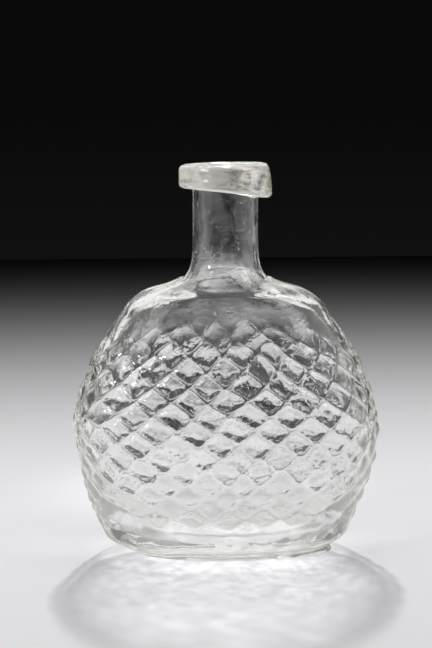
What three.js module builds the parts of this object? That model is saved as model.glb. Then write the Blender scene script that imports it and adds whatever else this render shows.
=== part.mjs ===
// Liqueur bottle of clear blown glass, made by the half-post method: a first gather of glass is the
// neck and the inner wall, a second gather covers its body and carries the moulded diamonds, a glass
// thread is wound round the mouth as a lip, and the iron that held the base has left a scar of glass.
// Millimetres, +Z up. The origin is on the table under the axis of the neck, and the front face
// looks towards -Y.
import * as THREE from "three";

// Overall sizes
const HEIGHT = 163; // table to the top of the lip
const BODY_WIDTH = 126; // across the belly, between the grooves of the pattern
const BODY_DEPTH = 74.4; // through the flattened faces, between the grooves
const BELLY_HEIGHT = 51; // level of the widest part
const SHOULDER_HEIGHT = 113; // level where the shoulder turns up into the neck
const NECK_DIAMETER = 27.5;
const NECK_FLARE = 11; // height over which the shoulder sweeps up into the neck
const NECK_STRAIGHT = 14.3; // the neck is straight from this height above the shoulder

// Base
const FOOT_WIDTH = 81; // outer edge of the flat ring that the bottle stands on
const FOOT_DEPTH = 42;
const FOOT_SHIFT = 4.5; // the foot stands this far to the right of the neck
const HEEL_HEIGHT = 2.2; // and the heel is back in line above this level
const SAG_SHIFT = 1.2; // the soft body has sunk this far to the right
const SAG_LEVEL = 41;
const SAG_SPREAD = 14;
const KICK_WIDTH = 46; // outer edge of the oval that is pushed up
const KICK_DEPTH = 28;
const KICK_HEIGHT = 6.5; // how far it is pushed up in the middle
const KICK_REACH = 0.6; // share of the inner floor that the kick lifts

// Squareness of the sections: 2 is an ellipse, more is nearer to a rectangle
const FOOT_POWER = 2.7;
const BODY_POWER = 2.25;
const NECK_POWER = 2;

// Walls of the two gathers
const NECK_WALL = 2.2;
const FLARE_WALL = 4.4; // the glass is thickest where the neck joins the shoulder
const INNER_WALL = 1.7; // first gather, in the body
const INNER_BASE = 2.6; // first gather, over the base
const OUTER_WALL = 1.9; // second gather, under the grooves of the pattern
const OUTER_BASE = 4.2; // second gather, under the base
const HEEL_TURN = 6; // height over which the second gather's floor turns up into its wall
const BOWL_LEVEL = 24; // the inside is a round bowl below this level, so that the heel is thick
const FLOOR_POWER = 5; // how late the second gather's floor turns up
const BOWL_POWER = 4; // and how late the inner floor does

// Free edge of the second gather, on the shoulder
const RIM_LEVEL = 114.2; // at the two sides of the bottle
const RIM_RISE = 3.8; // how much higher it lies on the flattened faces
const RIM_CREST = 3.35; // one more tongue, where the gather ran up the neck
const RIM_CREST_TURN = 0.836; // place of the tongue, in turns from +X
const RIM_CREST_SPREAD = 0.082; // half-width of the tongue, in turns
const RIM_STEP = 1.3; // how far the edge stands proud of the first gather
const RIM_FADE = 16; // the step dies away over this height
const RIM_ROUND = 0.2; // height of the rounding at the edge

// Diamond pattern of the dip mould
const DIAMONDS_ROUND = 20;
const DIAMOND_ROWS = 14; // rows of diamonds, each half a diamond above the last
const PATTERN_LOW = 14.3; // level of the lowest corners
const PATTERN_HIGH = 93.8; // level of the highest corners
const PATTERN_SQUASH = 0.19; // the lower rows are flatter, and the upper ones taller, by this share
const PATTERN_TURN = 0.025; // how far the lattice is turned from +X, in turns
const PATTERN_TWIST = 0.0385; // and how far it was twisted from bottom to top, as it left the mould
const PATTERN_FADE = 9; // the relief dies away over this height at both ends
const PATTERN_MARGIN = 1; // and is gone this far beyond the corners
const RELIEF = 1.3; // height of a diamond over its grooves
const PILLOW_POWER = 2.6; // 2 is a round pillow, more is flatter on top

// Lip thread
const LIP_DIAMETER = 38.6;
const LIP_THIN = 9.6; // height of the lip on the left, where the thread lies once
const LIP_THICK = 14.5; // and on the right, where its tail hangs under it
const LIP_EDGE = 2.2; // rounding of the lip's edges
const LIP_TILT = 0.8; // the mouth is this much lower on the left
const LIP_SLANT = 1.2; // the top is drawn in by this much on the right
const TAIL_TURN = 0.02; // where the tail hangs lowest, in turns from +X
const TAIL_POWER = 1.3; // more makes the hanging part shorter
const SEAM_DEPTH = 0.6; // groove between the thread and its overlapping tail
const SEAM_WIDTH = 1.3;
const SEAM_HIGH = 4.6; // the groove starts this far under the top
const SEAM_LOW = 11.2; // and runs down to here
const SEAM_RUN = 0.6; // within this share of its length
const SEAM_START = 0.7; // where the tail leaves the thread, in turns from +X
const SEAM_LENGTH = 0.3; // turns until the tail has melted into the thread
const MOUTH_DROP = 0.6; // the neck ends this far below the top of the lip

// Scar of the iron that held the base
const SCAR_DIAMETER = 15;
const SCAR_BORE = 8;
const SCAR_RIDGE = 1.2;
const SCAR_ROUGHNESS = 0.07; // share by which its edge wanders
const SCAR_MARGIN = 1.5; // level glass in the kick round the scar
// Corners of its section, as shares of the ring's width, from its bore, and of the ridge's height
const SCAR_SECTION = [[1, 0], [0, 0], [0.25, 0.7], [0.5, 1], [0.8, 0.6]];

// Fineness of the facets
const RING_POINTS = 40; // round the plain surfaces
const EDGE_STEPS = 3; // along each edge of a diamond
const HEEL_STEPS = 4;
const HEEL_POWER = 1.5; // more brings the heel's rings closer together at the foot
const SHOULDER_STEPS = 8;
const MEET_ROWS = 12;
const NECK_STEPS = 3;
const MOUTH_STEPS = 4;
const INSIDE_ROWS = 18;
const UNDER_STEPS = 5;
const FLOOR_SHARES = [0.25, 0.5, 0.7, 0.84, 0.94];
const LIP_EDGE_STEPS = 3;
const LIP_FACE_STEPS = 8;
const SCAR_POINTS = 20;

// Exactness of the curves
const HALVINGS = 24; // in the search for a level on the outline
const LEAN_ROUNDS = 4; // in the search for the angle of a turn
const NORMAL_STEP = 1e-4; // between the points that give the skin's direction

// Look of the glass
const GLASS_ROUGHNESS = 0.05;
const GLASS_OPACITY = 0.4;
const NECK_COLOUR = 0xe9ece6;
const BODY_COLOUR = 0xeef0ea;
const LIP_COLOUR = 0xe6e4da;
const SCAR_COLOUR = 0xe2e6dc;

const TURN = 2 * Math.PI;
const NECK_RADIUS = NECK_DIAMETER / 2;
const mix = THREE.MathUtils.lerp;
const smooth = THREE.MathUtils.smoothstep;
const bump = (x) => Math.exp(-x * x);

// Outline of the body and neck, as half-width, half-depth and level, from the foot to the mouth
function below(widthShare, depthShare, share) {
  const level = share * BELLY_HEIGHT;
  return new THREE.Vector3((widthShare * BODY_WIDTH) / 2, (depthShare * BODY_DEPTH) / 2, level);
}

function above(widthShare, depthShare, share) {
  const level = mix(BELLY_HEIGHT, SHOULDER_HEIGHT, share);
  return new THREE.Vector3((widthShare * BODY_WIDTH) / 2, (depthShare * BODY_DEPTH) / 2, level);
}

function flare(widthMore, depthMore, share) {
  const level = SHOULDER_HEIGHT + share * NECK_FLARE;
  return new THREE.Vector3(NECK_RADIUS + widthMore, NECK_RADIUS + depthMore, level);
}

const NECK_LOW = SHOULDER_HEIGHT + NECK_STRAIGHT;
const outline = new THREE.CatmullRomCurve3(
  [
    new THREE.Vector3(FOOT_WIDTH / 2, FOOT_DEPTH / 2, 0),
    below(0.65, 0.575, 0.032),
    below(0.728, 0.72, 0.086),
    below(0.804, 0.82, 0.15),
    below(0.848, 0.86, 0.26),
    below(0.886, 0.9, 0.4),
    below(0.945, 0.955, 0.62),
    below(1, 1, 1),
    above(0.98, 0.985, 0.2),
    above(0.924, 0.94, 0.36),
    above(0.862, 0.88, 0.52),
    above(0.774, 0.79, 0.68),
    above(0.69, 0.7, 0.8),
    above(0.625, 0.64, 0.885),
    above(0.525, 0.585, 0.945),
    above(0.37, 0.53, 0.988),
    flare(4.9, 4.5, 0.12),
    flare(2.9, 2.9, 0.33),
    flare(1.3, 1.3, 0.58),
    flare(0.4, 0.4, 0.88),
    new THREE.Vector3(NECK_RADIUS, NECK_RADIUS, NECK_LOW),
    new THREE.Vector3(NECK_RADIUS, NECK_RADIUS, HEIGHT),
  ],
  false,
  "centripetal",
);

// The share of the way along the outline at which it reaches a level
function shareAt(level) {
  let low = 0;
  let high = 1;
  for (let halving = 0; halving < HALVINGS; halving += 1) {
    const middle = (low + high) / 2;
    if (outline.getPoint(middle).z < level) {
      low = middle;
    } else {
      high = middle;
    }
  }
  return low;
}

// A point of the smooth skin. Turns are counted along the ring and not by angle, as the mould gave
// a round post even diamonds before the body was flattened.
function skin(share, turn) {
  const size = outline.getPoint(THREE.MathUtils.clamp(share, 0, 1));
  const lean = (size.x - size.y) / (size.x + size.y) / 2;
  let angle = TURN * turn;
  for (let round = 0; round < LEAN_ROUNDS; round += 1) {
    angle = TURN * turn + lean * Math.sin(2 * angle);
  }
  const lowPower = mix(FOOT_POWER, BODY_POWER, smooth(size.z, 0, BELLY_HEIGHT / 2));
  const power = mix(lowPower, NECK_POWER, smooth(size.z, BELLY_HEIGHT, SHOULDER_HEIGHT));
  const across = Math.cos(angle);
  const through = Math.sin(angle);
  const swell = (Math.abs(across) ** power + Math.abs(through) ** power) ** (-1 / power);
  const sag = SAG_SHIFT * bump((size.z - SAG_LEVEL) / SAG_SPREAD);
  const shift = FOOT_SHIFT * bump(size.z / HEEL_HEIGHT) + sag;
  return new THREE.Vector3(size.x * swell * across + shift, size.y * swell * through, size.z);
}

function skinNormal(share, turn) {
  const up = skin(share + NORMAL_STEP, turn).sub(skin(share - NORMAL_STEP, turn));
  const round = skin(share, turn + NORMAL_STEP).sub(skin(share, turn - NORMAL_STEP));
  return round.cross(up).normalize();
}

// A point this deep in the glass under the skin, or proud of it where the depth is negative
function inside(share, turn, depth) {
  return skin(share, turn).addScaledVector(skinNormal(share, turn), -depth);
}

// Distance round the ring in turns, by the short way
const apart = (turn, place) => THREE.MathUtils.euclideanModulo(turn - place + 0.5, 1) - 0.5;

// Free edge of the second gather
function rimLevel(turn) {
  const face = Math.sin(TURN * turn) ** 2;
  const crest = bump((apart(turn, RIM_CREST_TURN) / RIM_CREST_SPREAD) ** 2);
  return RIM_LEVEL + RIM_RISE * face + RIM_CREST * crest;
}

// How much of the edge's step is left at a level: 1 at the edge, 0 further down
function rimShare(turn, level) {
  const edge = rimLevel(turn);
  return smooth(level, edge - RIM_FADE, edge);
}

// Pillow of glass over the point of the lattice that is this many diamonds along and rows up
function pillow(along, rows) {
  const lobe = (x) => 1 - Math.abs(2 * THREE.MathUtils.euclideanModulo(x, 1) - 1) ** PILLOW_POWER;
  return lobe(along + rows / 2) * lobe(along - rows / 2);
}

// Level of a row of the lattice, where row 0 is at the lowest corners
function rowLevel(row) {
  const share = row / DIAMOND_ROWS;
  return mix(PATTERN_LOW, PATTERN_HIGH, share * (1 - PATTERN_SQUASH + PATTERN_SQUASH * share));
}

// Turn of a lattice point on the bottle. The twist is gone again at the foot and at the free edge.
function twisted(turn, level) {
  const middle = (PATTERN_LOW + PATTERN_HIGH) / 2;
  const twist = PATTERN_TURN + (PATTERN_TWIST * (level - middle)) / (PATTERN_HIGH - PATTERN_LOW);
  const top = smooth(level, PATTERN_HIGH, RIM_LEVEL);
  return turn - twist * smooth(level, 0, PATTERN_LOW) * (1 - top);
}

// Rings of points, and the closed mesh that joins them
function ring(count, point, phase = 0) {
  const points = [];
  for (let index = 0; index < count; index += 1) {
    points.push(point((index + phase) / count));
  }
  return { points, phase };
}

class Shell {
  constructor() {
    this.positions = [];
    this.faces = [];
    this.pole = null;
    this.last = null;
  }

  vertex(point) {
    this.positions.push(point.x, point.y, point.z);
    return this.positions.length / 3 - 1;
  }

  // The first pole, from which the first ring is fanned out
  open(point) {
    this.pole = this.vertex(point);
  }

  // Joins the next ring to the last, also where it has another count of points. A facing shell has
  // its facets split as those of the shell that it lies against, whose rings run the other way.
  add(next, facing = false) {
    const start = this.positions.length / 3;
    next.points.forEach((point) => this.vertex(point));
    const count = next.points.length;
    const current = { start, count, phase: next.phase };
    if (this.last !== null) {
      this.stitch(this.last, current, facing);
    } else if (this.pole !== null) {
      this.fan(this.pole, current, -1);
    }
    this.last = current;
  }

  fan(pole, { start, count }, way) {
    for (let index = 0; index < count; index += 1) {
      const next = (index + count + way) % count;
      this.faces.push(pole, start + index, start + next);
    }
  }

  stitch(lower, upper, facing = false) {
    let left = 0;
    let right = 0;
    const at = (band, index) => band.start + (index % band.count);
    const turnOf = (band, index) => (index + band.phase) / band.count;
    while (left < lower.count || right < upper.count) {
      const lowerNext = turnOf(lower, left + 1);
      const upperNext = turnOf(upper, right + 1);
      const lowerFirst = facing ? lowerNext < upperNext : lowerNext <= upperNext;
      if (right >= upper.count || (left < lower.count && lowerFirst)) {
        this.faces.push(at(lower, left), at(lower, left + 1), at(upper, right));
        left += 1;
      } else {
        this.faces.push(at(lower, left), at(upper, right + 1), at(upper, right));
        right += 1;
      }
    }
  }

  // The last pole closes the mesh
  close(point) {
    this.fan(this.vertex(point), this.last, 1);
    return this.geometry();
  }

  // Or the first ring does, on a piece with a hole through it
  closeRound(first) {
    this.stitch(this.last, first);
    return this.geometry();
  }

  geometry() {
    const geometry = new THREE.BufferGeometry();
    geometry.setAttribute("position", new THREE.Float32BufferAttribute(this.positions, 3));
    geometry.setIndex(this.faces);
    geometry.computeVertexNormals();
    return geometry;
  }
}

// Floors inside the bottle: share 0 in the middle, 1 where the floor has become the wall
function kick(share) {
  return (KICK_HEIGHT * (1 + Math.cos(Math.PI * Math.min(1, share / KICK_REACH)))) / 2;
}

function floorRing(share, rise, power, wall) {
  return ring(RING_POINTS, (turn) => {
    const edge = wall(turn);
    const level = mix(rise + kick(share), edge.z, share ** power);
    return new THREE.Vector3(mix(FOOT_SHIFT, edge.x, share), edge.y * share, level);
  });
}

// Face between the two gathers, from the middle of the floor up to the free edge
const MEET_LOW = shareAt(OUTER_BASE + HEEL_TURN);

function meetPoint(step, turn) {
  const share = mix(MEET_LOW, shareAt(rimLevel(turn)), step / MEET_ROWS);
  const level = outline.getPoint(share).z;
  return inside(share, turn, OUTER_WALL * (1 - rimShare(turn, level)));
}

const meetPole = new THREE.Vector3(FOOT_SHIFT, 0, OUTER_BASE + KICK_HEIGHT);
const meetRings = FLOOR_SHARES.map((share) =>
  floorRing(share, OUTER_BASE, FLOOR_POWER, (turn) => meetPoint(0, turn)),
);
for (let step = 0; step <= MEET_ROWS; step += 1) {
  meetRings.push(ring(RING_POINTS, (turn) => meetPoint(step, turn)));
}

// Inner face of the first gather, from the middle of the floor up to the mouth
const INSIDE_LOW = shareAt(BOWL_LEVEL);
const INSIDE_TOP = shareAt(HEIGHT - LIP_TILT - MOUTH_DROP - NECK_WALL / 2);

function innerDepth(level) {
  const body = OUTER_WALL + INNER_WALL;
  const flareLevel = SHOULDER_HEIGHT + NECK_FLARE / 2;
  const low = mix(body, FLARE_WALL, smooth(level, BELLY_HEIGHT, flareLevel));
  return mix(low, NECK_WALL, smooth(level, flareLevel, NECK_LOW));
}

function innerPoint(share, turn) {
  return inside(share, turn, innerDepth(outline.getPoint(share).z));
}

// How much lower the mouth is here than on the right
const mouthTilt = (turn) => (LIP_TILT * (1 - Math.cos(TURN * turn))) / 2;

function postGeometry() {
  const shell = new Shell();
  shell.open(meetPole);
  meetRings.forEach((each) => shell.add(each));
  for (let step = 1; step <= NECK_STEPS; step += 1) {
    const climb = step / NECK_STEPS;
    shell.add(
      ring(RING_POINTS, (turn) => skin(shareAt(mix(rimLevel(turn), NECK_LOW, climb)), turn)),
    );
  }
  // Half a round of fire-polished glass over the end of the wall
  for (let step = 0; step <= MOUTH_STEPS; step += 1) {
    const angle = (Math.PI * step) / MOUTH_STEPS;
    const radius = NECK_RADIUS - (NECK_WALL / 2) * (1 - Math.cos(angle));
    const level = HEIGHT - MOUTH_DROP - (NECK_WALL / 2) * (1 - Math.sin(angle));
    shell.add(
      ring(RING_POINTS, (turn) => {
        const corner = skin(1, turn).multiplyScalar(radius / NECK_RADIUS);
        return corner.setZ(level - mouthTilt(turn));
      }),
    );
  }
  for (let step = INSIDE_ROWS - 1; step >= 0; step -= 1) {
    const share = mix(INSIDE_LOW, INSIDE_TOP, step / INSIDE_ROWS);
    shell.add(ring(RING_POINTS, (turn) => innerPoint(share, turn)));
  }
  const rise = OUTER_BASE + INNER_BASE;
  for (const share of [...FLOOR_SHARES].reverse()) {
    shell.add(floorRing(share, rise, BOWL_POWER, (turn) => innerPoint(INSIDE_LOW, turn)));
  }
  return shell.close(new THREE.Vector3(FOOT_SHIFT, 0, rise + KICK_HEIGHT));
}

// Outer face of the second gather, with the pillows of the pattern standing on the smooth skin
function outerPoint(turn, level, relief = 0) {
  const place = twisted(turn, level);
  return inside(shareAt(level), place, -RIM_STEP * rimShare(place, level) - relief);
}

function patternRing(row) {
  const rowsUp = row / EDGE_STEPS;
  const level = rowLevel(rowsUp);
  const low = smooth(level, PATTERN_LOW - PATTERN_MARGIN, PATTERN_LOW + PATTERN_FADE);
  const high = 1 - smooth(level, PATTERN_HIGH - PATTERN_FADE, PATTERN_HIGH + PATTERN_MARGIN);
  const height = RELIEF * low * high;
  const phase = (row % 2) / 2;
  return ring(
    DIAMONDS_ROUND * EDGE_STEPS,
    (turn) => outerPoint(turn, level, height * pillow(turn * DIAMONDS_ROUND, rowsUp)),
    phase,
  );
}

// The kick, from its level roof, where the scar sits, down to the flat ring of the foot
function underPoint(share, turn) {
  const roof = SCAR_DIAMETER / 2 + SCAR_MARGIN;
  const x = mix(roof, KICK_WIDTH / 2, share) * Math.cos(TURN * turn);
  const y = mix(roof, KICK_DEPTH / 2, share) * Math.sin(TURN * turn);
  const level = (KICK_HEIGHT * (1 + Math.cos(Math.PI * share))) / 2;
  return new THREE.Vector3(x + FOOT_SHIFT, y, level);
}

function gatherGeometry() {
  const shell = new Shell();
  shell.open(new THREE.Vector3(FOOT_SHIFT, 0, KICK_HEIGHT));
  for (let step = 0; step <= UNDER_STEPS; step += 1) {
    shell.add(ring(RING_POINTS, (turn) => underPoint(step / UNDER_STEPS, turn)));
  }
  shell.add(ring(RING_POINTS, (turn) => skin(0, turn)));
  // The heel turns up fast, so its rings lie closer together at the foot
  for (let step = 1; step <= HEEL_STEPS; step += 1) {
    const level = PATTERN_LOW * (step / (HEEL_STEPS + 1)) ** HEEL_POWER;
    shell.add(ring(RING_POINTS, (turn) => outerPoint(turn, level)));
  }
  for (let row = 0; row <= DIAMOND_ROWS * EDGE_STEPS; row += 1) {
    shell.add(patternRing(row));
  }
  const bottom = shareAt(PATTERN_HIGH);
  const shareBelowRim = (turn) => shareAt(rimLevel(turn) - 2 * RIM_ROUND);
  for (let step = 1; step <= SHOULDER_STEPS; step += 1) {
    shell.add(
      ring(RING_POINTS, (turn) => {
        const share = mix(bottom, shareBelowRim(turn), step / SHOULDER_STEPS);
        return outerPoint(turn, outline.getPoint(share).z);
      }),
    );
  }
  // The edge of the gather is rounded down to the first gather
  shell.add(
    ring(RING_POINTS, (turn) => inside(shareAt(rimLevel(turn) - RIM_ROUND), turn, -RIM_STEP / 2)),
  );
  [...meetRings].reverse().forEach((each) => shell.add(each, true));
  return shell.close(meetPole);
}

// Lip: a band round the neck, thicker where the tail of the thread lies under its start
function lipDrop(turn) {
  const tail = (1 + Math.cos(TURN * (turn - TAIL_TURN))) / 2;
  return mix(LIP_THIN, LIP_THICK, tail ** TAIL_POWER);
}

// Depth of the groove beside the tail, this far under the top of the lip
function seam(turn, down) {
  const along = THREE.MathUtils.euclideanModulo(turn - SEAM_START, 1) / SEAM_LENGTH;
  if (along > 1) {
    return 0;
  }
  const place = mix(SEAM_HIGH, SEAM_LOW, smooth(along, 0, SEAM_RUN));
  return SEAM_DEPTH * Math.sqrt(Math.sin(Math.PI * along)) * bump((down - place) / SEAM_WIDTH);
}

// How far the lip's face is drawn in, this far under its top: most at the top on the right
function slant(turn, down) {
  const right = ((1 + Math.cos(TURN * turn)) / 2) ** 2;
  return LIP_SLANT * right * (1 - down / lipDrop(turn)) ** 2;
}

// The lip's section, up its face from the lower edge: how far each row lies inside the face, what
// share of the drop it lies at, and how far over that
function lipRows() {
  const corner = (angle) => LIP_EDGE * (1 - Math.sin(angle));
  const quarter = Math.PI / 2;
  const rows = [];
  for (let step = 0; step <= LIP_EDGE_STEPS; step += 1) {
    const angle = (quarter * step) / LIP_EDGE_STEPS;
    rows.push({ inset: corner(angle), down: 1, lift: corner(quarter - angle) });
  }
  for (let step = 1; step < LIP_FACE_STEPS; step += 1) {
    const share = step / LIP_FACE_STEPS;
    rows.push({ inset: 0, down: 1 - share, lift: LIP_EDGE * (1 - 2 * share) });
  }
  for (let step = LIP_EDGE_STEPS; step >= 0; step -= 1) {
    const angle = (quarter * step) / LIP_EDGE_STEPS;
    rows.push({ inset: corner(angle), down: 0, lift: -corner(quarter - angle) });
  }
  return rows;
}

function lipGeometry() {
  const onNeck = (down) =>
    ring(RING_POINTS, (turn) => skin(1, turn).setZ(HEIGHT - mouthTilt(turn) - down(turn)));
  const shell = new Shell();
  shell.add(onNeck(() => LIP_EDGE / 2));
  shell.add(onNeck(lipDrop));
  for (const row of lipRows()) {
    shell.add(
      ring(RING_POINTS, (turn) => {
        const down = lipDrop(turn) * row.down - row.lift;
        const groove = row.inset > 0 ? 0 : seam(turn, down);
        const radius = LIP_DIAMETER / 2 - slant(turn, down) - row.inset - groove;
        const corner = skin(1, turn).multiplyScalar(radius / NECK_RADIUS);
        return corner.setZ(HEIGHT - mouthTilt(turn) - down);
      }),
    );
  }
  return shell.closeRound({ start: 0, count: RING_POINTS, phase: 0 });
}

// Scar: a rough low ring of glass on the level roof of the kick
function scarGeometry() {
  const shell = new Shell();
  for (const [across, drop] of SCAR_SECTION) {
    shell.add(
      ring(SCAR_POINTS, (turn) => {
        const angle = TURN * turn;
        const rough = 1 + SCAR_ROUGHNESS * (Math.sin(2 * angle + 1) + Math.sin(5 * angle) / 2);
        const radius = mix(SCAR_BORE / 2, SCAR_DIAMETER / 2, across) * rough;
        const level = KICK_HEIGHT - SCAR_RIDGE * drop * rough;
        return new THREE.Vector3(
          FOOT_SHIFT + radius * Math.cos(angle),
          radius * Math.sin(angle),
          level,
        );
      }),
    );
  }
  return shell.closeRound({ start: 0, count: SCAR_POINTS, phase: 0 });
}

function piece(name, geometry, colour) {
  const glass = new THREE.MeshStandardMaterial({ color: colour, roughness: GLASS_ROUGHNESS });
  glass.transparent = true;
  glass.opacity = GLASS_OPACITY;
  const mesh = new THREE.Mesh(geometry, glass);
  mesh.name = name;
  return mesh;
}

const bottle = new THREE.Group();
bottle.add(
  piece("inner_post", postGeometry(), NECK_COLOUR),
  piece("diamond_half_post", gatherGeometry(), BODY_COLOUR),
  piece("lip_trail", lipGeometry(), LIP_COLOUR),
  piece("pontil_scar", scarGeometry(), SCAR_COLOUR),
);

export default bottle;
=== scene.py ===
import math

import bmesh
import bpy
import numpy as np
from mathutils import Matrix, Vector


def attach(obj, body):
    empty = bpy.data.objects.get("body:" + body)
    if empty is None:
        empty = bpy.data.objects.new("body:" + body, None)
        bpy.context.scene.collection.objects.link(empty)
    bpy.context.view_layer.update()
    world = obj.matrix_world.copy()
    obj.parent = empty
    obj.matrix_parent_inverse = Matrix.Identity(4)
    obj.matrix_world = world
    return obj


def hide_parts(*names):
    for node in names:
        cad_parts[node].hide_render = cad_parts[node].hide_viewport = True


# A clear blown-glass liqueur bottle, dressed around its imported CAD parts. The four pieces of glass
# are made again with a fine surface, and where two of them are fused the faces between them let
# light straight through, so that the bottle reads as one body of glass. Sizes are in millimetres
# down to make_piece, which turns them into metres. All that comes after it is in metres.

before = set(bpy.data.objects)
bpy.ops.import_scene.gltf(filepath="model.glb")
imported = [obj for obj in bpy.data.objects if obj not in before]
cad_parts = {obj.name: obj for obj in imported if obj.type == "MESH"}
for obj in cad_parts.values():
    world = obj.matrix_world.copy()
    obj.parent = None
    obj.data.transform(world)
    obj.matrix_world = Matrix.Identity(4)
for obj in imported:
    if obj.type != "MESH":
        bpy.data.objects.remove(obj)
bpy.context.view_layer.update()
MM = 0.001

# Overall sizes, as in the CAD model
HEIGHT = 163.0
BODY_WIDTH = 126.0
BODY_DEPTH = 74.4
BELLY_HEIGHT = 51.0
SHOULDER_HEIGHT = 113.0
NECK_RADIUS = 27.5 / 2
NECK_FLARE = 11.0
NECK_LOW = SHOULDER_HEIGHT + 14.3

# Foot, heel and the kick under the base
FOOT_WIDTH = 81.0
FOOT_DEPTH = 42.0
FOOT_SHIFT = 4.5
HEEL_HEIGHT = 2.2
SAG_SHIFT = 1.2
SAG_LEVEL = 41.0
SAG_SPREAD = 14.0
KICK_WIDTH = 46.0
KICK_DEPTH = 28.0
KICK_HEIGHT = 6.5
KICK_REACH = 0.6

# Squareness of the sections: 2 is an ellipse, more is nearer to a rectangle
FOOT_POWER = 2.7
BODY_POWER = 2.25
NECK_POWER = 2.0

# Walls of the two gathers. Inside, the shoulder is thicker than the body and the neck is thinner.
INNER_WALL = 1.7
INNER_BASE = 2.6
OUTER_WALL = 1.9
OUTER_BASE = 4.2
SHOULDER_WALL = 4.2
SHOULDER_WALL_START = 76.0
SHOULDER_WALL_LEVEL = 95.0
NECK_WALL = 2.2
NECK_WALL_START = 97.0
NECK_WALL_LEVEL = 129.0
HEEL_TURN = 6.0
BOWL_LEVEL = 24.0
FLOOR_POWER = 5
BOWL_POWER = 4

# Free edge of the second gather: a step at the sides, rolled over in a soft bead at the front, and
# melted into the first gather at the back
RIM_LEVEL = 114.2
RIM_RISE = 3.8
RIM_CREST = 3.35
RIM_CREST_TURN = 0.836
RIM_CREST_SPREAD = 0.082
RIM_STEP = 1.3
RIM_FADE = 16.0
BEAD_DROP = 5.0
BEAD_SHARE = 0.75
BEAD_FADE = 20.0
BEAD_FALL = 0.4
BACK_MELT = 0.85
# Sine of the turn from where the front and the back begin, to where they are in full
FACE_SPAN = (0.1, 0.6)
EDGE_ROUND = 0.0012

# Diamonds of the dip mould
DIAMONDS_ROUND = 20
DIAMOND_ROWS = 14
PATTERN_LOW = 14.3
PATTERN_HIGH = 93.8
PATTERN_SQUASH = 0.19
PATTERN_TURN = 0.025
PATTERN_TWIST = 0.0385
PATTERN_FADE = 9.0
PATTERN_TOP_FADE = 14.0
PATTERN_MARGIN = 3.0
RELIEF = 1.3
PILLOW_POWER = 2.6
CELL_VARIATION = 0.22
IMPRINT = 0.3
CRINKLE_IN_GROOVES = 0.3

# Lip thread
LIP_RADIUS = 38.6 / 2
LIP_THIN = 9.6
LIP_THICK = 14.5
LIP_EDGE = 2.2
LIP_TILT = 0.8
LIP_SLANT = 1.2
TAIL_TURN = 0.02
TAIL_POWER = 1.3
SEAM_DEPTH = 0.6
SEAM_WIDTH = 1.3
SEAM_HIGH = 4.6
SEAM_LOW = 11.2
SEAM_RUN = 0.6
SEAM_START = 0.7
SEAM_LENGTH = 0.3
MOUTH_DROP = 0.6

# Pontil scar. The section has places across the ring of glass, and shares of the ridge there.
SCAR_DIAMETER = 15.0
SCAR_BORE = 8.0
SCAR_RIDGE = 1.2
SCAR_ROUGHNESS = 0.07
SCAR_MARGIN = 1.5
SCAR_HUB = 0.5
SCAR_SECTION = [(0.15, 0.5), (0.35, 0.85), (0.55, 1), (0.72, 0.95), (0.86, 0.7), (0.94, 0.35)]

# Unevenness of the glass: height, count of waves, seed, and longest and shortest wave. The
# lattice's own is a shift, in diamonds across and in rows.
NECK_WAVES = (0.16, 14, 5, 50, 12)
INSIDE_WAVES = (0.25, 16, 8, 60, 10)
SKIN_WAVES = (0.22, 18, 3, 60, 9)
CREASE_WAVES = (0.22, 40, 51, 13, 4)
CRINKLE_WAVES = (0.055, 40, 41, 9, 3)
LIP_WAVES = (0.26, 18, 31, 50, 7)
ACROSS_WAVES = (0.08, 14, 21, 60, 16)
ROW_WAVES = (0.24, 14, 22, 60, 16)
LIP_WAVE_SQUASH = 2.5
# Levels between which these begin and end. Those of the mouth are counted down from the top.
SKIN_WAVES_START = (0, 12)
CREASE_START = (1, 6)
CREASE_END = (20, 34)
NECK_WAVES_END = (HEIGHT - 24, HEIGHT - 14)
MOUTH_CALM = (4, 20)

# Seeds, which are small bubbles of air in the glass. Their sizes and lengths follow gamma curves
# that are cut off at the top, and a swarm's depths and sizes lie evenly between two values.
SEED_LEAST = 0.4
SEED_SIZES = (1.6, 0.35)
SEED_MOST = 1.6
SEED_LENGTHS = (1.2, 0.5)
SEED_LONGEST = 2
SWARM_DEPTHS = (0.5, 1.2)
SWARM_SIZES = (0.5, 1.3)

# Fineness of the meshes
COLUMNS = 320
TURNS = np.arange(COLUMNS) / COLUMNS
LEAN_ROUNDS = 4
NORMAL_STEP = 4e-4
ROW_TABLE = 400
FLOOR_SHARES = np.linspace(0.04, 0.97, 24)
EDGE_SHARES = np.linspace(0.15, 0.85, 5)
MEET_STEPS = 40
NECK_STEPS = 50
MOUTH_STEPS = 10
INSIDE_STEPS = 120
UNDER_STEPS = 24
HEEL_SHARE = 0.1
HEEL_STEPS = 16
SIDE_STEPS = 172
LIP_CORNER_STEPS = 9
LIP_FACE_STEPS = 26
SCAR_STEPS = 5

# Materials of a piece: its glass, and the face where it is fused to the next piece
GLASS, FUSED = 0, 1

rng = np.random.default_rng(11)


def mix(low, high, share):
    return low + (high - low) * share


def smooth(x, low, high):
    t = np.clip((x - low) / (high - low), 0, 1)
    return t * t * (3 - 2 * t)


def bump(x):
    return np.exp(-np.square(x))


def apart(turn, place):
    """Distance round the ring in turns, by the short way."""
    return np.mod(turn - place + 0.5, 1) - 0.5


def below(width_share, depth_share, share):
    return (width_share * BODY_WIDTH / 2, depth_share * BODY_DEPTH / 2, share * BELLY_HEIGHT)


def above(width_share, depth_share, share):
    level = mix(BELLY_HEIGHT, SHOULDER_HEIGHT, share)
    return (width_share * BODY_WIDTH / 2, depth_share * BODY_DEPTH / 2, level)


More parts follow.
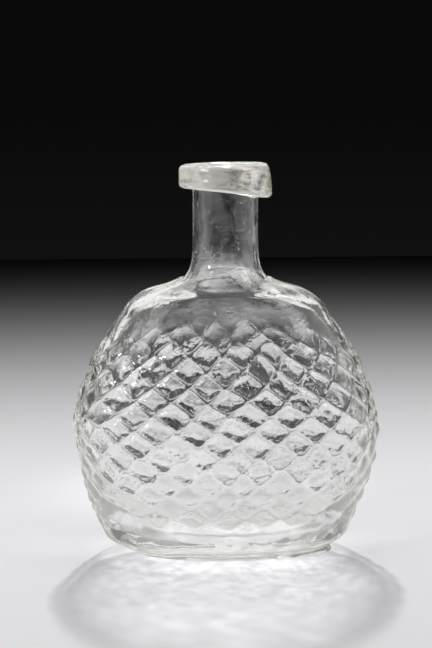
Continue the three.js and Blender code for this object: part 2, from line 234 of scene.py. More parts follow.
def flare(width_more, depth_more, share):
    level = SHOULDER_HEIGHT + share * NECK_FLARE
    return (NECK_RADIUS + width_more, NECK_RADIUS + depth_more, level)


# Half-width, half-depth and level of the smooth skin, from the foot to the mouth
STATIONS = np.array(
    [
        (FOOT_WIDTH / 2, FOOT_DEPTH / 2, 0),
        below(0.65, 0.575, 0.032),
        below(0.728, 0.72, 0.086),
        below(0.804, 0.82, 0.15),
        below(0.848, 0.86, 0.26),
        below(0.886, 0.9, 0.4),
        below(0.945, 0.955, 0.62),
        below(1, 1, 1),
        above(0.98, 0.985, 0.2),
        above(0.924, 0.94, 0.36),
        above(0.862, 0.88, 0.52),
        above(0.774, 0.79, 0.68),
        above(0.69, 0.7, 0.8),
        above(0.625, 0.64, 0.885),
        above(0.525, 0.585, 0.945),
        above(0.37, 0.53, 0.988),
        flare(4.9, 4.5, 0.12),
        flare(2.9, 2.9, 0.33),
        flare(1.3, 1.3, 0.58),
        flare(0.4, 0.4, 0.88),
        (NECK_RADIUS, NECK_RADIUS, NECK_LOW),
        (NECK_RADIUS, NECK_RADIUS, HEIGHT),
    ]
)


def spline(stations, steps=120):
    """Centripetal Catmull-Rom curve through the stations, as the CAD outline is."""
    ends = [2 * stations[0] - stations[1], *stations, 2 * stations[-1] - stations[-2]]
    t = np.linspace(0, 1, steps, endpoint=False)[:, None]
    points = []
    for p0, p1, p2, p3 in zip(ends, ends[1:], ends[2:], ends[3:]):
        gap = [math.sqrt(np.linalg.norm(b - a)) for a, b in ((p0, p1), (p1, p2), (p2, p3))]
        lead = (p1 - p0) / gap[0] - (p2 - p0) / (gap[0] + gap[1]) + (p2 - p1) / gap[1]
        tail = (p2 - p1) / gap[1] - (p3 - p1) / (gap[1] + gap[2]) + (p3 - p2) / gap[2]
        lead, tail = lead * gap[1], tail * gap[1]
        square = -3 * p1 + 3 * p2 - 2 * lead - tail
        cube = 2 * p1 - 2 * p2 + lead + tail
        points.append(p1 + lead * t + square * t**2 + cube * t**3)
    return np.vstack([*points, stations[-1][None]])


OUTLINE = spline(STATIONS)
SHARES = np.linspace(0, 1, len(OUTLINE))


def share_at(level):
    return np.interp(level, OUTLINE[:, 2], SHARES)


def level_at(share):
    return np.interp(share, SHARES, OUTLINE[:, 2])


def skin(share, turn):
    """Points of the smooth skin, with turns counted along the ring and not by angle."""
    share = np.clip(share, 0, 1)
    width, depth, level = (np.interp(share, SHARES, OUTLINE[:, k]) for k in range(3))
    lean = (width - depth) / (width + depth) / 2
    angle = math.tau * turn
    for _ in range(LEAN_ROUNDS):
        angle = math.tau * turn + lean * np.sin(2 * angle)
    power = mix(FOOT_POWER, BODY_POWER, smooth(level, 0, BELLY_HEIGHT / 2))
    power = mix(power, NECK_POWER, smooth(level, BELLY_HEIGHT, SHOULDER_HEIGHT))
    across, through = np.cos(angle), np.sin(angle)
    swell = (np.abs(across) ** power + np.abs(through) ** power) ** (-1 / power)
    sag = SAG_SHIFT * bump((level - SAG_LEVEL) / SAG_SPREAD)
    shift = FOOT_SHIFT * bump(level / HEEL_HEIGHT) + sag
    return np.stack([width * swell * across + shift, depth * swell * through, level], -1)


def skin_normal(share, turn):
    up = skin(share + NORMAL_STEP, turn) - skin(share - NORMAL_STEP, turn)
    round_ = skin(share, turn + NORMAL_STEP) - skin(share, turn - NORMAL_STEP)
    normal = np.cross(round_, up)
    return normal / np.linalg.norm(normal, axis=-1, keepdims=True)


def inside(share, turn, depth):
    """Points this deep under the skin, or proud of it where the depth is negative."""
    share, turn = np.broadcast_arrays(share, turn)
    return skin(share, turn) - skin_normal(share, turn) * np.expand_dims(depth + 0 * turn, -1)


def rim_level(turn):
    face = np.sin(math.tau * turn) ** 2
    crest = bump((apart(turn, RIM_CREST_TURN) / RIM_CREST_SPREAD) ** 2)
    return RIM_LEVEL + RIM_RISE * face + RIM_CREST * crest


def rim_share(turn, level):
    edge = rim_level(turn)
    return smooth(level, edge - RIM_FADE, edge)


def rim_height(turn, level):
    """How far the skin stands proud towards the free edge."""
    edge, facing = rim_level(turn), np.sin(math.tau * turn)
    bead = smooth(level, edge - BEAD_FADE, edge - BEAD_DROP)
    bead = bead * (1 - BEAD_FALL * smooth(level, edge - BEAD_DROP, edge))
    plain = rim_share(turn, level) * (1 - BACK_MELT * smooth(facing, *FACE_SPAN))
    return RIM_STEP * mix(plain, BEAD_SHARE * bead, smooth(-facing, *FACE_SPAN))


def wander(turn, level, height, waves, seed, longest, shortest):
    """Soft unevenness of hand-worked glass, up and down by the height, that joins up round the
    ring."""
    dice = np.random.default_rng(seed)
    girth = math.pi * (BODY_WIDTH + BODY_DEPTH) / 2
    total = 0
    for _ in range(waves):
        length = longest * (shortest / longest) ** dice.random()
        heading = dice.random() * math.tau
        round_ = round(girth / length * math.cos(heading))
        rise = math.sin(heading) / length
        place = math.tau * (round_ * turn + rise * level + dice.random())
        total = total + (length / longest) * np.sin(place)
    return height * (total / math.sqrt(waves))


CELL_HEIGHT = rng.random((DIAMOND_ROWS + 4, 2 * DIAMONDS_ROUND))
CELL_HEIGHT = 1 + CELL_VARIATION * (CELL_HEIGHT - 0.5)


def pillow(along, rows):
    """Height of the cushion of glass at a place in the lattice: 0 in the grooves, about 1 in the
    middle of a diamond. No two diamonds are of quite the same height."""
    first, second = along + rows / 2, along - rows / 2
    cell_a, cell_b = np.floor(first).astype(int), np.floor(second).astype(int)
    row = np.clip(cell_a - cell_b + 1, 0, DIAMOND_ROWS + 3)
    height = CELL_HEIGHT[row, np.mod(cell_a + cell_b, 2 * DIAMONDS_ROUND)]
    lobes = [1 - np.abs(2 * np.mod(x, 1) - 1) ** PILLOW_POWER for x in (first, second)]
    return height * lobes[0] * lobes[1]


def row_level(row):
    share = row / DIAMOND_ROWS
    return mix(PATTERN_LOW, PATTERN_HIGH, share * (1 - PATTERN_SQUASH + PATTERN_SQUASH * share))


ROW_COUNTS = np.linspace(-2, DIAMOND_ROWS + 2, ROW_TABLE)
ROW_LEVELS = np.array([row_level(row) for row in ROW_COUNTS])


def twist(level):
    """How far the lattice is turned at a level. It is straight again at the foot and the edge."""
    middle = (PATTERN_LOW + PATTERN_HIGH) / 2
    turned = PATTERN_TURN + PATTERN_TWIST * (level - middle) / (PATTERN_HIGH - PATTERN_LOW)
    return turned * smooth(level, 0, PATTERN_LOW) * (1 - smooth(level, PATTERN_HIGH, RIM_LEVEL))


def pattern_place(turn, level):
    """Place in the lattice of a point on the skin, as diamonds along and rows up."""
    level = level + 0 * turn
    jitter = wander(turn, level, *ACROSS_WAVES)
    drift = wander(turn, level, *ROW_WAVES)
    rows = np.interp(level, ROW_LEVELS, ROW_COUNTS)
    return (turn + twist(level)) * DIAMONDS_ROUND + jitter, rows + drift


def pattern_height(level):
    fade_low = smooth(level, PATTERN_LOW - PATTERN_MARGIN, PATTERN_LOW + PATTERN_FADE)
    fade_high = smooth(level, PATTERN_HIGH - PATTERN_TOP_FADE, PATTERN_HIGH + PATTERN_MARGIN)
    return RELIEF * fade_low * (1 - fade_high)


def inner_depth(level):
    thick = smooth(level, SHOULDER_WALL_START, SHOULDER_WALL_LEVEL)
    thin = smooth(level, NECK_WALL_START, NECK_WALL_LEVEL)
    return mix(mix(OUTER_WALL + INNER_WALL, SHOULDER_WALL, thick), NECK_WALL, thin)


def kick(share):
    return KICK_HEIGHT * (1 + np.cos(math.pi * np.minimum(1, share / KICK_REACH))) / 2


def floor_rings(rise, power, edge):
    """Floor inside the bottle, from its middle out to the ring where it has become the wall."""
    rings = []
    for share in FLOOR_SHARES:
        level = mix(rise + kick(share), edge[:, 2], share**power)
        rings.append(np.stack([mix(FOOT_SHIFT, edge[:, 0], share), edge[:, 1] * share, level], -1))
    return rings


def meet_rings():
    """The face between the two gathers, from the middle of the floor up to the free edge."""
    low, high = share_at(OUTER_BASE + HEEL_TURN), share_at(rim_level(TURNS))
    wall = []
    for step in np.linspace(0, 1, MEET_STEPS):
        share = mix(low, high, step)
        depth = OUTER_WALL * (1 - rim_share(TURNS, level_at(share)))
        wall.append(inside(share, TURNS, depth))
    return floor_rings(OUTER_BASE, FLOOR_POWER, wall[0]) + wall


MEET = meet_rings()
MEET_POLE = (FOOT_SHIFT, 0, OUTER_BASE + KICK_HEIGHT)

# Level of the mouth, which tilts down to the left
MOUTH = HEIGHT - LIP_TILT * (1 - np.cos(math.tau * TURNS)) / 2


def lip_drop(turn):
    tail = (1 + np.cos(math.tau * (turn - TAIL_TURN))) / 2
    return mix(LIP_THIN, LIP_THICK, tail**TAIL_POWER)


def under_lip(steps=6):
    """The neck's face under the lip, from the lip's lower edge to its upper one."""
    low, high = MOUTH - lip_drop(TURNS), MOUTH - MOUTH_DROP - NECK_WALL / 2
    levels = mix(low, high, np.linspace(0, 1, steps)[:, None])
    return [np.stack([*skin(np.ones(COLUMNS), TURNS).T[:2], level], -1) for level in levels]


UNDER_LIP = under_lip()


def rings_mesh(rings, slots, poles=None):
    """Points, faces and materials of a closed skin through rings of COLUMNS points. slots has the
    material of each band between two rings. With poles the skin starts and ends in a point, and
    without them it closes on its first ring."""
    count = len(rings)
    numbers = np.arange(count * COLUMNS).reshape(count, COLUMNS)
    after = np.roll(numbers, -1, axis=1)
    bands = [(k, (k + 1) % count) for k in range(count if poles is None else count - 1)]
    faces, kinds = [], []
    for (low, high), slot in zip(bands, slots):
        faces += np.stack([numbers[low], after[low], after[high], numbers[high]], -1).tolist()
        kinds += [slot] * COLUMNS
    points = np.asarray(rings).reshape(-1, 3)
    if poles is not None:
        points = np.vstack([points, poles])
        start, end = count * COLUMNS, count * COLUMNS + 1
        faces += [[start, b, a] for a, b in zip(numbers[0].tolist(), after[0].tolist())]
        faces += [[end, a, b] for a, b in zip(numbers[-1].tolist(), after[-1].tolist())]
        kinds += [slots[0]] * COLUMNS + [slots[-1]] * COLUMNS
    return points, faces, kinds


def neck_rings():
    """Outer face of the neck, from the second gather's free edge up to the lip."""
    low, high = share_at(rim_level(TURNS)), share_at(MOUTH - lip_drop(TURNS))
    rings = []
    for step in np.linspace(0, 1, NECK_STEPS)[1:-1]:
        share = mix(low, high, step)
        level = level_at(share)
        uneven = wander(TURNS, level, *NECK_WAVES) * (1 - smooth(level, *NECK_WAVES_END))
        rings.append(inside(share, TURNS, -(uneven * math.sin(math.pi * step) ** 0.5)))
    return rings


def mouth_rings():
    """Half a round of fire-polished glass over the end of the neck's wall."""
    half = NECK_WALL / 2
    rings = []
    for angle in np.linspace(0, math.pi, MOUTH_STEPS)[1:]:
        radius = NECK_RADIUS - half * (1 - math.cos(angle))
        ring = skin(np.ones(COLUMNS), TURNS) * (radius / NECK_RADIUS)
        ring[:, 2] = MOUTH - MOUTH_DROP - half * (1 - math.sin(angle))
        rings.append(ring)
    return rings


def inner_rings():
    """Inner face of the first gather, from the mouth down to the bowl of the base."""
    top, bottom = share_at(HEIGHT - LIP_TILT - MOUTH_DROP - NECK_WALL / 2), share_at(BOWL_LEVEL)
    rings = []
    for share in np.linspace(top, bottom, INSIDE_STEPS)[1:]:
        level = level_at(share)
        imprint = IMPRINT * pattern_height(level) * pillow(*pattern_place(TURNS, level))
        uneven = wander(TURNS, level, *INSIDE_WAVES) * smooth(HEIGHT - level, *MOUTH_CALM)
        rings.append(inside(share, TURNS, inner_depth(level) - imprint + uneven))
    return rings


def post_parts():
    neck, wall = neck_rings(), inner_rings()
    rings = MEET + neck + UNDER_LIP + mouth_rings() + wall
    rings += floor_rings(OUTER_BASE + INNER_BASE, BOWL_POWER, wall[-1])[::-1]
    slots = [FUSED] * (len(MEET) - 1) + [GLASS] * (len(neck) + 1)
    slots += [FUSED] * (len(UNDER_LIP) - 1)
    slots += [GLASS] * (len(rings) - len(slots) - 1)
    poles = [MEET_POLE, (FOOT_SHIFT, 0, OUTER_BASE + INNER_BASE + KICK_HEIGHT)]
    return rings_mesh(rings, slots, poles)


def outer_ring(share, turn):
    level = level_at(share)
    cushion = pillow(*pattern_place(turn, level))
    # The chilled skin of each pillow is crinkled, and least so in the grooves
    crinkle = wander(turn, level, *CRINKLE_WAVES)
    crinkle = crinkle * (CRINKLE_IN_GROOVES + (1 - CRINKLE_IN_GROOVES) * cushion)
    relief = pattern_height(level) * (cushion + crinkle)
    uneven = wander(turn, level, *SKIN_WAVES) * smooth(level, *SKIN_WAVES_START)
    # The heel is creased where the glass sagged and was pressed flat
    crease = wander(turn, level, *CREASE_WAVES) * smooth(level, *CREASE_START)
    crease = crease * (1 - smooth(level, *CREASE_END))
    return inside(share, turn, -rim_height(turn, level) - relief - uneven - crease)


def under_ring(share):
    """Ring of the underside, from the scar's level roof at 0 to the flat foot at 1."""
    roof = SCAR_DIAMETER / 2 + SCAR_MARGIN
    x = mix(roof, KICK_WIDTH / 2, share) * np.cos(math.tau * TURNS)
    y = mix(roof, KICK_DEPTH / 2, share) * np.sin(math.tau * TURNS)
    level = KICK_HEIGHT * (1 + math.cos(math.pi * share)) / 2
    return np.stack([x + FOOT_SHIFT, y, np.full(COLUMNS, level)], -1)


def scar_ring(radius, drop):
    angle = math.tau * TURNS
    rough = 1 + SCAR_ROUGHNESS * (np.sin(2 * angle + 1) + np.sin(5 * angle) / 2)
    x = FOOT_SHIFT + radius * rough * np.cos(angle)
    y = radius * rough * np.sin(angle)
    return np.stack([x, y, KICK_HEIGHT - SCAR_RIDGE * drop * rough], -1)


def scar_roof(start, end):
    """Level rings of the kick's roof, from one radius to another."""
    return [scar_ring(radius, 0) for radius in np.linspace(start, end, SCAR_STEPS)]


SCAR_ROOF = scar_roof(SCAR_BORE / 2, SCAR_DIAMETER / 2)


def gather_parts():
    hub = scar_roof(SCAR_HUB, SCAR_BORE / 2)[:-1]
    rings = hub + SCAR_ROOF
    slots = [GLASS] * len(hub) + [FUSED] * (len(SCAR_ROOF) - 1)
    rings += [under_ring(share) for share in np.linspace(0, 1, UNDER_STEPS)]
    rings += [mix(under_ring(1), skin(np.zeros(COLUMNS), TURNS), share) for share in (0.5, 1)]
    low, high = share_at(0), share_at(rim_level(TURNS))
    # The heel turns up fast, so its rings lie closer together
    heel = np.linspace(0, HEEL_SHARE, HEEL_STEPS)[1:]
    side = np.linspace(HEEL_SHARE, 1, SIDE_STEPS)[1:-1]
    rings += [outer_ring(mix(low, high, step), TURNS) for step in (*heel, *side)]
    # The free edge is rounded down to the first gather
    edge_height = rim_height(TURNS, rim_level(TURNS))
    for angle in EDGE_SHARES * math.pi / 2:
        share = mix(low, high, 1 - EDGE_ROUND * math.cos(angle))
        rings.append(inside(share, TURNS, -edge_height * math.cos(angle)))
    slots += [GLASS] * (len(rings) - len(slots))
    rings += MEET[::-1]
    slots += [FUSED] * (len(MEET) - 1)
    return rings_mesh(rings, slots, [(FOOT_SHIFT, 0, KICK_HEIGHT), MEET_POLE])


def lip_section():
    """Rows of the lip's section, from its lower edge up: how far in from the face, at what share
    of the lip's height under the mouth, and how far over that. The first and the last are counted
    in radii of the rounded edge."""
    corner = np.linspace(0, math.pi / 2, LIP_CORNER_STEPS)
    rows = [(1 - math.sin(angle), 1, 1 - math.cos(angle)) for angle in corner]
    rows += [(0, 1 - share, 1 - 2 * share) for share in np.linspace(0, 1, LIP_FACE_STEPS)[1:-1]]
    rows += [(1 - math.sin(angle), 0, math.cos(angle) - 1) for angle in corner[::-1]]
    return rows


def seam_depth(level):
    """Groove between the thread and its overlapping tail."""
    along = np.mod(TURNS - SEAM_START, 1) / SEAM_LENGTH
    drop = mix(SEAM_HIGH, SEAM_LOW, smooth(along, 0, SEAM_RUN))
    depth = SEAM_DEPTH * np.sqrt(np.sin(math.pi * np.clip(along, 0, 1)).clip(0))
    return depth * bump((MOUTH - level - drop) / SEAM_WIDTH)


def lip_parts():
    base = skin(np.ones(COLUMNS), TURNS) / NECK_RADIUS
    right = ((1 + np.cos(math.tau * TURNS)) / 2) ** 2
    rings = []
    for inset, down, lift in lip_section():
        level = MOUTH - lip_drop(TURNS) * down + lift * LIP_EDGE
        uneven = wander(TURNS, level * LIP_WAVE_SQUASH, *LIP_WAVES) - seam_depth(level)
        slant = LIP_SLANT * right * (1 - (MOUTH - level) / lip_drop(TURNS)) ** 2
        radius = LIP_RADIUS - slant - inset * LIP_EDGE + uneven * (1 - inset)
        ring = base * radius[:, None]
        ring[:, 2] = level
        rings.append(ring)
    slots = [GLASS] * len(rings)
    rings += UNDER_LIP[::-1]
    slots += [FUSED] * (len(UNDER_LIP) - 1) + [GLASS]
    return rings_mesh(rings, slots)


def scar_parts():
    inner, outer = SCAR_BORE / 2, SCAR_DIAMETER / 2
    rings = SCAR_ROOF[::-1]
    rings += [scar_ring(mix(inner, outer, place), drop) for place, drop in SCAR_SECTION]
    slots = [FUSED] * (len(SCAR_ROOF) - 1) + [GLASS] * (len(SCAR_SECTION) + 1)
    return rings_mesh(rings, slots)


def seed_places(count, low, high, depth_low, depth_high, size):
    """Bubbles in the wall between two levels and two depths, drawn out along the bottle. Most are
    small, and a few are large or long."""
    level = rng.uniform(low, high, count)
    turn = rng.random(count)
    depth = rng.uniform(depth_low, depth_high, count)
    centres = inside(share_at(level), turn, depth)
    radii = size * (SEED_LEAST + rng.gamma(*SEED_SIZES, count).clip(0, SEED_MOST))
    stretch = 1 + rng.gamma(*SEED_LENGTHS, count).clip(0, SEED_LONGEST)
    return [(c, np.array([r, r, r * s])) for c, r, s in zip(centres, radii, stretch)]


def seed_cluster(count, level, turn, rise, spread, size):
    """A swarm of seeds round one place in the wall."""
    levels, turns = rng.normal(level, rise, count), rng.normal(turn, spread, count)
    centres = inside(share_at(levels), turns, rng.uniform(*SWARM_DEPTHS, count))
    radii = rng.uniform(*SWARM_SIZES, count)
    return [(c, np.full(3, size * r)) for c, r in zip(centres, radii)]


def add_seeds(skin_parts, places):
    """Adds the seeds to a piece, as inner skins that face into the bubble."""
    points, faces, kinds = skin_parts
    ball = bmesh.new()
    bmesh.ops.create_icosphere(ball, subdivisions=1, radius=1)
    shape = np.array([v.co[:] for v in ball.verts])
    corners = np.array([[v.index for v in f.verts] for f in ball.faces])[:, ::-1]
    ball.free()
    stack, start = [points], len(points)
    for centre, size in places:
        stack.append(centre + shape * size)
        faces += (corners + start).tolist()
        kinds += [GLASS] * len(corners)
        start += len(shape)
    return np.vstack(stack), faces, kinds


def make_piece(name, skin_parts, node, materials):
    points, faces, kinds = skin_parts
    mesh = bpy.data.meshes.new(name)
    mesh.from_pydata((points * MM).tolist(), [], faces)
    mesh.polygons.foreach_set("material_index", np.array(kinds, np.int32))
    mesh.polygons.foreach_set("use_smooth", np.ones(len(faces), bool))
    mesh.update()
    for material in materials:
        mesh.materials.append(material)
    piece = bpy.data.objects.new(name, mesh)
    bpy.context.scene.collection.objects.link(piece)
    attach(piece, "root")
    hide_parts(node)


# The glass
GLASS_IOR = 1.5

# Patterns on it: scale and detail of the noise, and how far it is twirled
CORDS = (90.0, 3.0, 0.0)
CRINKLES = (300.0, 2.0, 1.2)
CLOUDS = (70.0, 7.0, 0.6)
SPECKS = (800.0, 3.0, 0.0)
SWIRLS = (110.0, 2.0, 2.5)
CORD_HEIGHT = 0.001
CRINKLE_HEIGHT = 0.0005

# Values of the clouds between which the glass gets rougher, and how rough it is for its most haze
CLOUD_SPAN = (0.35, 0.7)
HAZE_ROUGHNESS = 1 / 8

# The colour that thick glass has, and how far the glass is turned from the eye where it shows.
# Facing is 0 where the glass faces the eye, and 1 at its outline.
EDGE_TINT = (0.975, 0.98, 0.79)
EDGE_FACING = (0.45, 0.95)

# How much bloom the worn base has and up to which levels, and how clear the dustiest places are
BASE_BLOOM = 0.15
BLOOM_LEVELS = (0.006, 0.055)
DUST = 0.95
DUST_SPAN = (0.5, 0.66)

# Shade of the glass in the light that passes through it to the floor. The factors over 1 stand in
# for the light that real glass gathers there, by the levels between which they apply.
GRAZING_SHADE = 0.42
GRAZING_FACING = (0.07, 1.0)
SWIRL_SHADES = (0.89, 1.16)
SWIRL_SPAN = (0.4, 0.6)
BASE_GATHERS = 1.45
BASE_LEVELS = (0.0065, 0.0105)
HEEL_GATHERS = 1.05
HEEL_LEVELS = (0.032, 0.05)
SHOULDER_GATHERS = 1.22
SHOULDER_LEVELS = (0.08, 0.105)


def new_material(name):
    material = bpy.data.materials.new(name)
    material.use_nodes = True
    nodes = material.node_tree.nodes
    nodes.clear()
    output = nodes.new("ShaderNodeOutputMaterial")
    return material, nodes, material.node_tree.links, output


def scaled(nodes, links, source, low, high, start, end):
    """A value that goes from low to high while the source goes from start to end."""
    spread = nodes.new("ShaderNodeMapRange")
    for name, value in zip(("From Min", "From Max", "To Min", "To Max"), (start, end, low, high)):
        spread.inputs[name].default_value = value
    links.new(source, spread.inputs["Value"])
    return spread.outputs["Result"]


def noise_value(nodes, links, vector, scale, detail, twirl):
    noise = nodes.new("ShaderNodeTexNoise")
    noise.inputs["Scale"].default_value = scale
    noise.inputs["Detail"].default_value = detail
    noise.inputs["Distortion"].default_value = twirl
    links.new(vector, noise.inputs["Vector"])
    return noise.outputs["Fac"]


def product(nodes, links, first, *others):
    for other in others:
        times = nodes.new("ShaderNodeMath")
        times.operation = "MULTIPLY"
        links.new(first, times.inputs[0])
        links.new(other, times.inputs[1])
        first = times.outputs["Value"]
    return first


def axis_of(nodes, links, vector, axis):
    axes = nodes.new("ShaderNodeSeparateXYZ")
    links.new(vector, axes.inputs["Vector"])
    return axes.outputs[axis]


def facing_colour(nodes, links, front, side, span):
    """A colour that turns into another one where the surface is turned from the eye or lamp."""
    weight = nodes.new("ShaderNodeLayerWeight")
    weight.inputs["Blend"].default_value = 0.5
    colour = nodes.new("ShaderNodeMixRGB")
    colour.inputs["Color1"].default_value = (*front, 1)
    colour.inputs["Color2"].default_value = (*side, 1)
    turned = scaled(nodes, links, weight.outputs["Facing"], 0.0, 1.0, *span)
    links.new(turned, colour.inputs["Fac"])
    return colour.outputs["Color"]


def bumped(nodes, links, height, strength, distance):
    relief = nodes.new("ShaderNodeBump")
    relief.inputs["Strength"].default_value = strength
    relief.inputs["Distance"].default_value = distance
    links.new(height, relief.inputs["Height"])
    return relief


def passing_shade(nodes, links, where, level):
    """Colour of the light that passes through the glass. It is darker where the light grazes the
    glass, and what the rims turn aside comes back as swirls in the middle of the shadow."""
    shade = (GRAZING_SHADE,) * 3
    ramp = facing_colour(nodes, links, (1, 1, 1), shade, GRAZING_FACING)
    base = scaled(nodes, links, level, BASE_GATHERS, 1.0, *BASE_LEVELS)
    heel = scaled(nodes, links, level, HEEL_GATHERS, 1.0, *HEEL_LEVELS)
    shoulder = scaled(nodes, links, level, 1.0, SHOULDER_GATHERS, *SHOULDER_LEVELS)
    web = noise_value(nodes, links, where, *SWIRLS)
    swirl = scaled(nodes, links, web, *SWIRL_SHADES, *SWIRL_SPAN)
    streak = nodes.new("ShaderNodeMixRGB")
    streak.blend_type = "MULTIPLY"
    streak.inputs["Fac"].default_value = 1.0
    links.new(ramp, streak.inputs["Color1"])
    links.new(product(nodes, links, base, heel, shoulder, swirl), streak.inputs["Color2"])
    return streak.outputs["Color"]


def glass_material(name, tint, haze, cord, crinkle, grain=(1.0, 1.0, 1.0), patch=CLOUD_SPAN):
    """Clear glass with soft cords and fine crinkles, and a worn bloom on its surface that
    scatters a little light. The bloom and the cords are drawn out along the grain. haze has the
    least and the most bloom, and patch the values of the clouds where these are reached."""
    material, nodes, links, output = new_material(name)
    where = nodes.new("ShaderNodeTexCoord").outputs["Object"]
    level = axis_of(nodes, links, where, "Z")
    drawn = nodes.new("ShaderNodeMapping")
    drawn.inputs["Scale"].default_value = grain
    links.new(where, drawn.inputs["Vector"])
    vector = drawn.outputs["Vector"]
    glass = nodes.new("ShaderNodeBsdfPrincipled")
    glass.inputs["IOR"].default_value = GLASS_IOR
    # The colour of the glass shows where a long way through it is seen, at its edges
    colour = facing_colour(nodes, links, tint, EDGE_TINT, EDGE_FACING)
    links.new(colour, glass.inputs["Base Color"])
    cords = bumped(nodes, links, noise_value(nodes, links, vector, *CORDS), cord, CORD_HEIGHT)
    fine = noise_value(nodes, links, where, *CRINKLES)
    relief = bumped(nodes, links, fine, crinkle, CRINKLE_HEIGHT)
    links.new(cords.outputs["Normal"], relief.inputs["Normal"])
    links.new(relief.outputs["Normal"], glass.inputs["Normal"])
    cloud = noise_value(nodes, links, vector, *CLOUDS)
    clear = scaled(nodes, links, cloud, 1 - haze[0], 1 - haze[1], *patch)
    unworn = scaled(nodes, links, level, 1 - BASE_BLOOM, 1.0, *BLOOM_LEVELS)
    specks = noise_value(nodes, links, where, *SPECKS)
    dust = scaled(nodes, links, specks, 1.0, DUST, *DUST_SPAN)
    clarity = product(nodes, links, clear, unworn, dust)
    links.new(clarity, glass.inputs["Transmission Weight"])
    rough = scaled(nodes, links, cloud, 0.0, haze[1] * HAZE_ROUGHNESS, *CLOUD_SPAN)
    links.new(rough, glass.inputs["Roughness"])
    # Rays to the lamps pass with a soft shade, so that the floor gets a glass's shadow and not a
    # solid's. Light that the floor sends up passes too, or the floor would count the lamps twice.
    passing = nodes.new("ShaderNodeBsdfTransparent")
    links.new(passing_shade(nodes, links, where, level), passing.inputs["Color"])
    path = nodes.new("ShaderNodeLightPath")
    surface = glass.outputs["BSDF"]
    for ray in ("Is Diffuse Ray", "Is Shadow Ray"):
        choice = nodes.new("ShaderNodeMixShader")
        links.new(path.outputs[ray], choice.inputs["Fac"])
        links.new(surface, choice.inputs[1])
        links.new(passing.outputs["BSDF"], choice.inputs[2])
        surface = choice.outputs["Shader"]
    links.new(surface, output.inputs["Surface"])
    return material


def fused_material():
    material, nodes, links, output = new_material("fused_face")
    passing = nodes.new("ShaderNodeBsdfTransparent")
    passing.inputs["Color"].default_value = (1, 1, 1, 1)
    links.new(passing.outputs["BSDF"], output.inputs["Surface"])
    return material


fused = fused_material()
body_glass = glass_material("body_glass", (1.0, 1.0, 0.985), (0.0, 0.02), 0.08, 0.2)
neck_glass = glass_material(
    "neck_glass", (0.99, 0.995, 0.99), (0.0, 0.05), 0.1, 0.05, (2.6, 2.6, 1.8), (0.44, 0.62)
)
lip_glass = glass_material(
    "lip_glass", (1.0, 0.965, 0.905), (0.05, 0.95), 1.0, 0.3, (0.7, 0.7, 2.0), (0.42, 0.62)
)
scar_glass = glass_material("scar_glass", (0.95, 0.96, 0.94), (0.1, 0.3), 0.1, 1.0)

post_seeds = seed_places(560, SHOULDER_HEIGHT + 2, HEIGHT - 15, 0.4, 1.8, 0.12)
post_seeds += seed_cluster(80, 124, 0.677, 3.5, 0.02, 0.15)
gather_seeds = seed_places(200, 25, SHOULDER_HEIGHT - 4, 0.7, 1.2, 0.15)
gather_seeds += seed_cluster(80, 99, 0.765, 2.0, 0.02, 0.15)
make_piece("inner_post_glass", add_seeds(post_parts(), post_seeds), "inner_post",
           [neck_glass, fused])
make_piece("diamond_gather_glass", add_seeds(gather_parts(), gather_seeds), "diamond_half_post",
           [body_glass, fused])
make_piece("lip_thread_glass", lip_parts(), "lip_trail", [lip_glass, fused])
make_piece("pontil_scar_glass", scar_parts(), "pontil_scar", [scar_glass, fused])

# Table. It lies a hair under the foot, so that the two faces do not lie in one plane.
TABLE_SIDE = 3.0
TABLE_REACH = 1.35
TABLE_LEVEL = -0.00002
TABLE_PALE = 0.79
# Painted shade: the table's colour fades to dark behind the bottle in place of the light falling off
# there
TABLE_PAINTED_FALLOFF = 3.72
TABLE_PAINTED_FALLOFF_POWER = 1.76
TABLE_COOL = 1.02
TABLE_STOPS = 16
# It is dark again in front of the picture, where the glass would mirror it
FRONT_SHADES = [(-0.6, 0.08), (-0.35, 0.3), (-0.18, TABLE_PALE)]


def painted_falloff_shade(distance):
    """How pale the table's colour is made this many metres behind the bottle: a painted falloff of
    the light, darker further back.
    """
    return TABLE_PALE * math.exp(-TABLE_PAINTED_FALLOFF * distance**TABLE_PAINTED_FALLOFF_POWER)


def table_material():
    """Pale table whose colour darkens some way behind the bottle, as painted shade where the light
    falls off.
    """
    material, nodes, links, output = new_material("table")
    where = nodes.new("ShaderNodeTexCoord").outputs["Object"]
    distance = axis_of(nodes, links, where, "Y")
    ramp = nodes.new("ShaderNodeValToRGB")
    places = np.linspace(0, TABLE_REACH, TABLE_STOPS)
    # The stops behind the bottle paint the falloff of the light into the table's colour
    shades = FRONT_SHADES + [(place, painted_falloff_shade(place)) for place in places]
    start, end = shades[0][0], shades[-1][0]
    links.new(scaled(nodes, links, distance, 0.0, 1.0, start, end), ramp.inputs["Fac"])
    stops = ramp.color_ramp.elements
    # A new ramp has two stops already, for the two ends
    for place, _ in shades[1:-1]:
        stops.new((place - start) / (end - start))
    for stop, (_, value) in zip(stops, shades):
        stop.color = (value, value, value * TABLE_COOL, 1)
    surface = nodes.new("ShaderNodeBsdfDiffuse")
    links.new(ramp.outputs["Color"], surface.inputs["Color"])
    links.new(surface.outputs["BSDF"], output.inputs["Surface"])
    return material


def make_table():
    mesh = bpy.data.meshes.new("table")
    corners = [(-TABLE_SIDE, -TABLE_SIDE, TABLE_LEVEL), (TABLE_SIDE, -TABLE_SIDE, TABLE_LEVEL)]
    corners += [(TABLE_SIDE, TABLE_REACH, TABLE_LEVEL), (-TABLE_SIDE, TABLE_REACH, TABLE_LEVEL)]
    mesh.from_pydata(corners, [], [(0, 1, 2, 3)])
    mesh.materials.append(table_material())
    table = bpy.data.objects.new("table", mesh)
    bpy.context.scene.collection.objects.link(table)


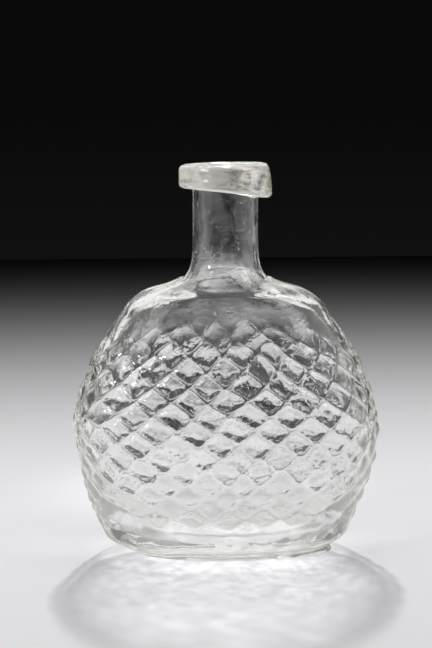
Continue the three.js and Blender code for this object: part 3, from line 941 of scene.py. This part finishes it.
# Room: shades of the backdrop from under to over the far edge of the table, and of the ceiling,
# each with the heights of the line of sight between which they change
BACKDROP_SHADES = (0.0056, 0.003)
BACKDROP_HEIGHTS = (-0.095, -0.02)
CEILING_SHADES = (0.0, 0.1)
CEILING_HEIGHTS = (0.1, 0.35)


def make_world():
    """A dark room, with a dim grey ceiling over the bottle."""
    world = bpy.data.worlds.new("studio")
    world.use_nodes = True
    nodes, links = world.node_tree.nodes, world.node_tree.links
    background = nodes["Background"]
    heading = nodes.new("ShaderNodeTexCoord").outputs["Generated"]
    height = axis_of(nodes, links, heading, "Z")
    total = nodes.new("ShaderNodeMath")
    backdrop = scaled(nodes, links, height, *BACKDROP_SHADES, *BACKDROP_HEIGHTS)
    links.new(backdrop, total.inputs[0])
    ceiling = scaled(nodes, links, height, *CEILING_SHADES, *CEILING_HEIGHTS)
    links.new(ceiling, total.inputs[1])
    links.new(total.outputs["Value"], background.inputs["Color"])
    background.inputs["Strength"].default_value = 1.0
    bpy.context.scene.world = world


def make_lamp(name, kind, place, target, power):
    data = bpy.data.lights.new(name, kind)
    data.energy = power
    lamp = bpy.data.objects.new(name, data)
    lamp.location = place
    lamp.rotation_mode = "QUATERNION"
    lamp.rotation_quaternion = (Vector(target) - Vector(place)).to_track_quat("-Z", "Y")
    bpy.context.scene.collection.objects.link(lamp)
    return data


def make_softbox(name, place, target, size, power):
    data = make_lamp(name, "AREA", place, target, power)
    data.shape = "RECTANGLE"
    data.size, data.size_y = size


def make_pool(name, place, target, degrees, power):
    """A soft pool of light on the table behind the bottle, where the real glass gathers light."""
    data = make_lamp(name, "SPOT", place, target, power)
    data.spot_size, data.spot_blend = math.radians(degrees), 1.0
    data.shadow_soft_size = 0.02


# Camera: the photo's view, in the photo's 432 by 648 frame
FRAME_WIDTH, FRAME_HEIGHT = 432, 648
SENSOR_WIDTH = 36.0
FOCAL_PX = 2000.0
PITCH = math.radians(7.1)
DISTANCE = 0.830
EYE_HEIGHT = 0.1991
YAW = math.radians(-6.0)
AXIS_PX = 225.3


def make_camera():
    data = bpy.data.cameras.new("camera")
    data.sensor_fit = "AUTO"
    data.sensor_width = SENSOR_WIDTH
    data.lens = FOCAL_PX / FRAME_HEIGHT * data.sensor_width
    data.shift_x = (FRAME_WIDTH / 2 - AXIS_PX) / FRAME_HEIGHT
    camera = bpy.data.objects.new("camera", data)
    camera.location = (DISTANCE * math.sin(YAW), -DISTANCE * math.cos(YAW), EYE_HEIGHT)
    camera.rotation_euler = (math.pi / 2 - PITCH, 0, YAW)
    bpy.context.scene.collection.objects.link(camera)
    bpy.context.scene.camera = camera


make_table()
make_world()
make_camera()
LOW_BODY, UPPER_BODY = (0, 0, 0.05), (0, 0, 0.1)
make_softbox("key", (0.11, 1.14, 0.92), LOW_BODY, (0.06, 0.06), 15.5)
make_softbox("back_softbox", (0, 1.25, 1.02), LOW_BODY, (2.4, 1.5), 9.0)
make_softbox("front_left_spot", (-1.0, -0.58, 0.62), LOW_BODY, (0.15, 0.15), 3.0)
make_pool("pool", (0, 0.45, 0.9), (0, 0.13, 0), 10.5, 9)
make_softbox("left_panel", (-0.8, -0.1, 0.46), (0, -0.1, 0.46), (0.9, 0.9), 1.0)
make_softbox("right_panel", (0.8, 0.0, 0.46), (0, 0.0, 0.46), (0.9, 0.9), 1.0)
make_softbox("upper_left_softbox", (-0.67, -0.18, 0.83), UPPER_BODY, (0.46, 0.32), 1.2)
make_softbox("upper_right_softbox", (0.67, -0.18, 0.83), UPPER_BODY, (0.46, 0.32), 1.2)

scene = bpy.context.scene
scene.view_settings.view_transform = "Standard"
scene.cycles.max_bounces = 32
scene.cycles.transmission_bounces = 32
scene.cycles.glossy_bounces = 12
scene.cycles.transparent_max_bounces = 64
